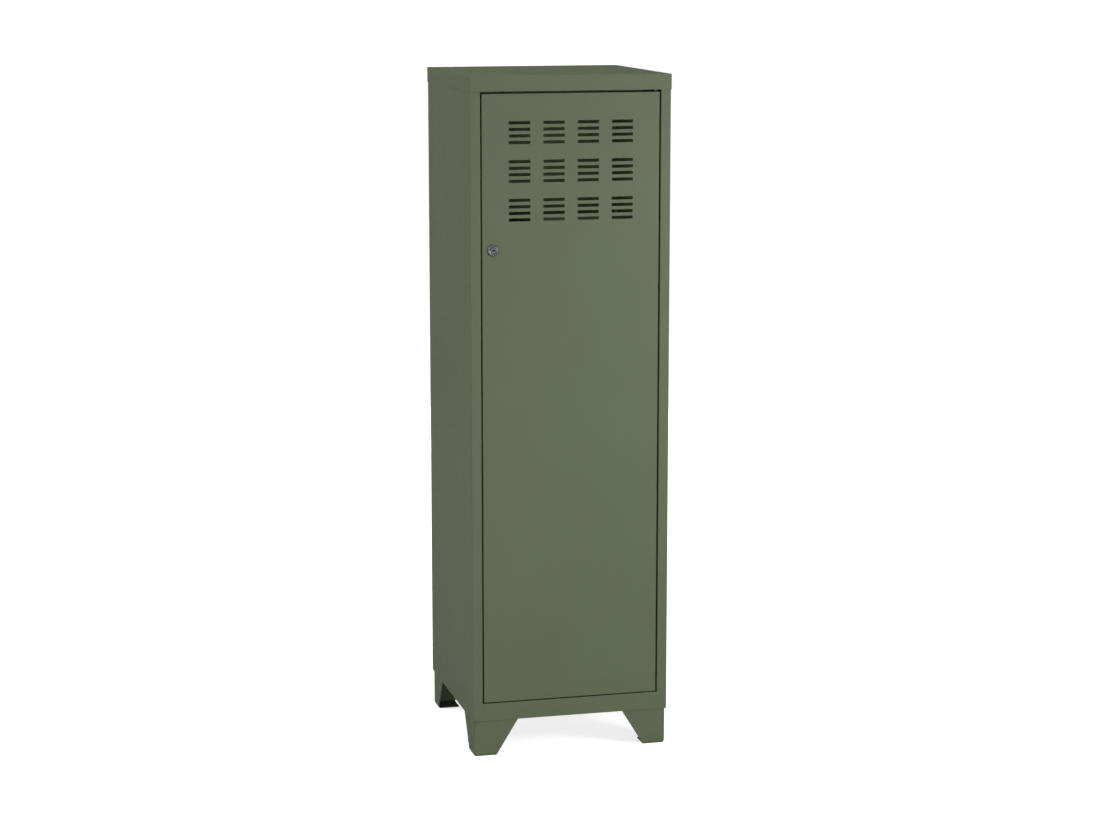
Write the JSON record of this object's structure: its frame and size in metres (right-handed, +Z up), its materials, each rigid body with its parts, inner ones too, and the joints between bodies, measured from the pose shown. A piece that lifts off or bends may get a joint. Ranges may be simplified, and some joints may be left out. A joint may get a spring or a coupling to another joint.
{
  "type": "single-door steel locker",
  "caption": "Tall free-standing sheet-steel locker on folded corner feet, with a slotted hinged door, a cam lock, an overlapping top cap, an inner shelf and a hanging rail.",
  "frame": {"origin": "on the floor, below the middle of the body", "axes": "+Z up, the door faces -Y, +X towards the hinge side"},
  "size_m": [0.4, 0.4028, 1.34],
  "materials": {
    "painted_steel": "olive green satin powder coat",
    "zinc_steel": "bright zinc plate",
    "chromed_steel": "polished chrome plate",
    "lock_zinc": "satin nickel plate on a zinc casting",
    "nylon": "black moulded nylon",
    "buffer_rubber": "matt black rubber"
  },
  "bodies": {
    "carcass": {"side_panel_left": "painted_steel", "side_panel_right": "painted_steel", "back_panel": "painted_steel", "floor_tray": "painted_steel", "header_rail": "painted_steel", "top_cap": "painted_steel", "foot_front_left": "painted_steel", "foot_front_right": "painted_steel", "foot_rear_left": "painted_steel", "foot_rear_right": "painted_steel", "foot_bolt_front_left_1": "zinc_steel", "foot_bolt_front_left_2": "zinc_steel", "foot_bolt_front_right_1": "zinc_steel", "foot_bolt_front_right_2": "zinc_steel", "foot_bolt_rear_left_1": "zinc_steel", "foot_bolt_rear_left_2": "zinc_steel", "foot_bolt_rear_right_1": "zinc_steel", "foot_bolt_rear_right_2": "zinc_steel", "back_rivet_left_1": "painted_steel", "back_rivet_left_2": "painted_steel", "back_rivet_left_3": "painted_steel", "back_rivet_right_1": "painted_steel", "back_rivet_right_2": "painted_steel", "back_rivet_right_3": "painted_steel", "cap_screw_front_left": "zinc_steel", "cap_screw_front_right": "zinc_steel", "cap_screw_rear_left": "zinc_steel", "cap_screw_rear_right": "zinc_steel", "pivot_pin_upper": "zinc_steel", "pivot_pin_lower": "zinc_steel", "shelf": "painted_steel", "shelf_bracket_left": "painted_steel", "shelf_bracket_right": "painted_steel", "shelf_screw_front_left": "zinc_steel", "shelf_screw_front_right": "zinc_steel", "shelf_screw_rear_left": "zinc_steel", "shelf_screw_rear_right": "zinc_steel", "hanging_rail": "chromed_steel", "rail_socket_left": "nylon", "rail_socket_right": "nylon", "door_buffer_lower": "buffer_rubber", "door_buffer_upper": "buffer_rubber"},
    "door": {"door_pan": "painted_steel", "door_stiffener": "painted_steel", "pivot_bush_upper": "nylon", "pivot_bush_lower": "nylon", "lock_body": "lock_zinc", "lock_nut": "zinc_steel"},
    "lock_cylinder": {"lock_plug": "lock_zinc", "lock_cam": "zinc_steel", "cam_screw": "zinc_steel"}
  },
  "joints": [
    {"name": "door_hinge", "type": "hinge", "parent": "carcass", "child": "door", "pos_m": [0.1679, -0.1929, 0.708], "axis": [0, 0, 1], "range_deg": [0, 110]},
    {"name": "lock_turn", "type": "hinge", "parent": "door", "child": "lock_cylinder", "pos_m": [-0.1552, -0.1872, 1.007], "axis": [0, 1, 0], "range_deg": [0, 90]}
  ]
}
